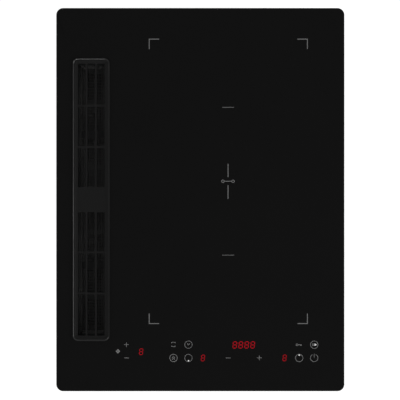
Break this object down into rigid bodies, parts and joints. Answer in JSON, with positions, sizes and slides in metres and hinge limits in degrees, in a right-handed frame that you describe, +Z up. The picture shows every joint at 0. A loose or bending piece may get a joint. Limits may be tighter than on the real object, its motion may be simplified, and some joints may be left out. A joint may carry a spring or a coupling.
{
  "type": "downdraft induction cooktop",
  "caption": "Narrow black glass induction cooktop with a lift-off extractor grille on its left, printed zones and touch keys, and a blower with a flat-duct outlet below.",
  "frame": {"origin": "centre of the glass plate on the worktop plane, the underside of the perimeter seal", "axes": "+Z up out of the worktop, +Y to the rear edge where the duct leaves, +X to the user's right"},
  "size_m": [0.391, 0.52, 0.197],
  "materials": {
    "glass_ceramic": "polished black glass-ceramic",
    "foam_seal": "closed-cell foam",
    "galvanised_steel": "galvanised, fine spangle",
    "frame_steel": "black coated steel",
    "zinc_screw": "zinc plated",
    "well_plastic": "moulded, fine grain",
    "tray_plastic": "moulded, smooth",
    "filter_steel": "pressed stainless steel",
    "filter_mesh": "layered expanded mesh",
    "grille_black": "cast, fine matt black coat",
    "silicone_pad": "silicone",
    "housing_plastic": "moulded, fine grain",
    "impeller_plastic": "moulded, satin",
    "ground_steel": "ground steel",
    "motor_enamel": "baked enamel",
    "mount_rubber": "soft rubber",
    "flap_plastic": "moulded, smooth",
    "copper_winding": "enamelled copper litz wire",
    "former_plastic": "glass-filled nylon",
    "ferrite": "sintered ferrite",
    "sheet_aluminium": "mill finish",
    "mica": "pressed mica sheet",
    "sensor_ceramic": "unglazed",
    "spring_steel": "blued spring steel",
    "circuit_board": "solder-masked laminate",
    "nylon_post": "natural nylon",
    "heatsink_aluminium": "extruded",
    "capacitor_sleeve": "shrink sleeve",
    "choke_core": "epoxy coated core",
    "relay_case": "moulded case",
    "fan_plastic": "moulded, satin",
    "key_spring": "plated spring wire",
    "digit_red": "tinted display window",
    "terminal_plastic": "moulded, fine grain",
    "terminal_block": "moulded, natural",
    "gland_plastic": "moulded nylon"
  },
  "bodies": {
    "hob": {"glass_top": "glass_ceramic", "worktop_seal": "foam_seal", "carrier_frame": "frame_steel", "base_pan": "galvanised_steel", "pan_screws": "zinc_screw", "well_gasket": "foam_seal", "well_collar": "well_plastic", "well_trough": "well_plastic", "chamber_gasket": "foam_seal", "duct_gasket": "foam_seal", "chamber_housing": "housing_plastic", "scroll_housing": "housing_plastic", "housing_screws": "zinc_screw", "blower_motor": "motor_enamel", "motor_bearings": "ground_steel", "motor_grommets": "mount_rubber", "motor_screws": "zinc_screw", "spigot_gasket": "foam_seal", "outlet_spigot": "housing_plastic", "coil_front": "copper_winding", "coil_rear": "copper_winding", "coil_former_front": "former_plastic", "coil_former_rear": "former_plastic", "ferrite_bars": "ferrite", "coil_plate": "sheet_aluminium", "mica_sheets": "mica", "temperature_sensors": "sensor_ceramic", "support_springs": "spring_steel", "power_board": "circuit_board", "board_standoffs": "nylon_post", "heatsink": "heatsink_aluminium", "filter_capacitors": "capacitor_sleeve", "mains_choke": "choke_core", "relays": "relay_case", "cooling_fan_frame": "fan_plastic", "touch_board": "circuit_board", "board_carrier": "nylon_post", "key_springs": "key_spring", "digit_displays": "digit_red", "mounting_clips": "spring_steel", "terminal_box": "terminal_plastic", "gland_plate": "terminal_plastic", "cover_pin": "ground_steel", "terminal_block": "terminal_block", "cable_gland": "gland_plastic"},
    "drip_tray": {"drip_tray": "tray_plastic"},
    "grease_filter": {"filter_frame": "filter_steel", "filter_panels": "filter_steel", "filter_mesh": "filter_mesh", "filter_handles": "filter_steel"},
    "intake_grille": {"intake_grille": "grille_black", "grille_pads": "silicone_pad"},
    "blower_wheel": {"impeller": "impeller_plastic", "impeller_shaft": "ground_steel"},
    "cooling_rotor": {"cooling_rotor": "fan_plastic"},
    "outlet_flap": {"damper_flap": "flap_plastic", "damper_axle": "ground_steel"},
    "terminal_cover": {"terminal_cover": "terminal_plastic"}
  },
  "joints": [
    {"name": "tray_lift", "type": "slide", "parent": "hob", "child": "drip_tray", "axis": [0, 0, 1], "range_m": [0, 0.165]},
    {"name": "filter_lift", "type": "slide", "parent": "drip_tray", "child": "grease_filter", "axis": [0, 0, 1], "range_m": [0, 0.08]},
    {"name": "grille_lift", "type": "slide", "parent": "grease_filter", "child": "intake_grille", "axis": [0, 0, 1], "range_m": [0, 0.06]},
    {"name": "impeller_spin", "type": "hinge", "parent": "hob", "child": "blower_wheel", "pos_m": [0.0255, -0.04, -0.1645], "axis": [0, 0, 1], "continuous": true},
    {"name": "cooling_spin", "type": "hinge", "parent": "hob", "child": "cooling_rotor", "pos_m": [0.118, -0.179, -0.053], "axis": [0, 0, 1], "continuous": true},
    {"name": "flap_swing", "type": "hinge", "parent": "hob", "child": "outlet_flap", "pos_m": [0.091, 0.1645, -0.0925], "axis": [1, 0, 0], "range_deg": [0, 80]},
    {"name": "cover_swing", "type": "hinge", "parent": "hob", "child": "terminal_cover", "pos_m": [-0.08805, 0.1608, -0.091], "axis": [-1, 0, 0], "range_deg": [0, 100]}
  ]
}
